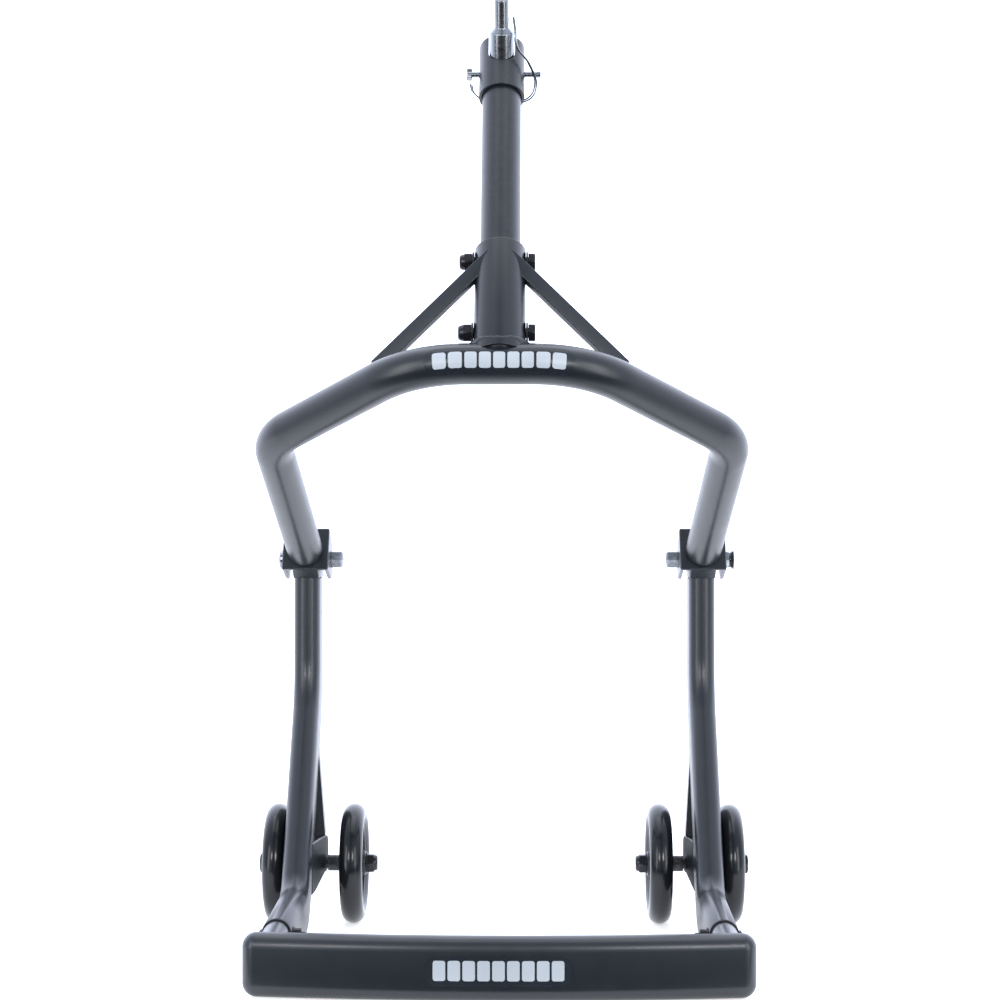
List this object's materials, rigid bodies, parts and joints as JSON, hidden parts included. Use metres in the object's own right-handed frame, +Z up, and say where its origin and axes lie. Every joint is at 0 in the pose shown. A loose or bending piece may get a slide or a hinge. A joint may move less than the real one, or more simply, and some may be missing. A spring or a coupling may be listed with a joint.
{
  "type": "paddock stand",
  "caption": "Head-lift motorcycle paddock stand: wheeled U floor frame, bent arch folding on upright arms, and a leaning sleeved post with a swinging stem pin.",
  "frame": {"origin": "middle of the bounding box, on the floor", "axes": "+X to the right seen from the handle, +Y away from the handle towards the fold pivots, +Z up"},
  "size_m": [0.5136, 0.4628, 0.9378],
  "materials": {
    "frame_paint": "satin gunmetal powder coat",
    "black_hardware": "black oxide steel",
    "zinc_steel": "bright zinc plate",
    "tyre_black": "smooth black polyurethane",
    "core_black": "moulded nylon",
    "black_plastic": "moulded collar",
    "name_plate": "printed sticker with a plain pattern"
  },
  "bodies": {
    "frame": {"handle_bar": "frame_paint", "handle_decal": "name_plate", "left_axle_bolt": "black_hardware", "left_axle_bracket": "frame_paint", "left_axle_nut": "black_hardware", "left_brace_strut": "frame_paint", "left_handle_bolt": "black_hardware", "left_handle_nut": "black_hardware", "left_inner_spacer": "black_hardware", "left_outer_spacer": "black_hardware", "left_pivot_block": "frame_paint", "left_side_tube": "frame_paint", "left_socket_collar": "black_plastic", "right_axle_bolt": "black_hardware", "right_axle_bracket": "frame_paint", "right_axle_nut": "black_hardware", "right_brace_strut": "frame_paint", "right_handle_bolt": "black_hardware", "right_handle_nut": "black_hardware", "right_inner_spacer": "black_hardware", "right_outer_spacer": "black_hardware", "right_pivot_block": "frame_paint", "right_side_tube": "frame_paint", "right_socket_collar": "black_plastic"},
    "arch": {"arch_decal": "name_plate", "arch_tube": "frame_paint", "left_gusset": "frame_paint", "left_pivot_bolt": "zinc_steel", "left_pivot_bracket": "frame_paint", "left_pivot_nut": "zinc_steel", "lower_clamp_bolt": "black_hardware", "lower_clamp_nut": "black_hardware", "lower_clamp_washer_left": "black_hardware", "lower_clamp_washer_right": "black_hardware", "post_sleeve": "frame_paint", "right_gusset": "frame_paint", "right_pivot_bolt": "zinc_steel", "right_pivot_bracket": "frame_paint", "right_pivot_nut": "zinc_steel", "right_pivot_spacer": "zinc_steel", "upper_clamp_bolt": "black_hardware", "upper_clamp_nut": "black_hardware", "upper_clamp_washer_left": "black_hardware", "upper_clamp_washer_right": "black_hardware"},
    "post": {"lift_post": "frame_paint", "head_socket": "frame_paint"},
    "stem_pin": {"stem_pin": "zinc_steel"},
    "lock_pin": {"lock_pin": "zinc_steel", "lock_wire": "zinc_steel"},
    "left_inner_wheel": {"left_inner_wheel_core": "core_black", "left_inner_wheel_tyre": "tyre_black"},
    "left_outer_wheel": {"left_outer_wheel_core": "core_black", "left_outer_wheel_tyre": "tyre_black"},
    "right_inner_wheel": {"right_inner_wheel_core": "core_black", "right_inner_wheel_tyre": "tyre_black"},
    "right_outer_wheel": {"right_outer_wheel_core": "core_black", "right_outer_wheel_tyre": "tyre_black"}
  },
  "joints": [
    {"name": "arch_fold", "type": "hinge", "parent": "frame", "child": "arch", "pos_m": [0, 0.2034, 0.381], "axis": [-1, 0, 0], "range_deg": [0, 100]},
    {"name": "post_height", "type": "slide", "parent": "arch", "child": "post", "axis": [0, 0.5, 0.866], "range_m": [0, 0.04]},
    {"name": "stem_pin_tilt", "type": "hinge", "parent": "post", "child": "stem_pin", "pos_m": [0, -0.00159, 0.86669], "axis": [-1, 0, 0], "range_deg": [0, 52]},
    {"name": "lock_pin_turn", "type": "hinge", "parent": "post", "child": "lock_pin", "pos_m": [0, -0.00159, 0.86669], "axis": [1, 0, 0], "range_deg": [0, 12]},
    {"name": "left_inner_wheel_spin", "type": "hinge", "parent": "frame", "child": "left_inner_wheel", "pos_m": [-0.1578, 0.1434, 0.0625], "axis": [1, 0, 0], "continuous": true},
    {"name": "left_outer_wheel_spin", "type": "hinge", "parent": "frame", "child": "left_outer_wheel", "pos_m": [-0.2376, 0.1434, 0.0625], "axis": [1, 0, 0], "continuous": true},
    {"name": "right_inner_wheel_spin", "type": "hinge", "parent": "frame", "child": "right_inner_wheel", "pos_m": [0.1635, 0.1434, 0.0625], "axis": [1, 0, 0], "continuous": true},
    {"name": "right_outer_wheel_spin", "type": "hinge", "parent": "frame", "child": "right_outer_wheel", "pos_m": [0.2376, 0.1434, 0.0625], "axis": [1, 0, 0], "continuous": true}
  ]
}
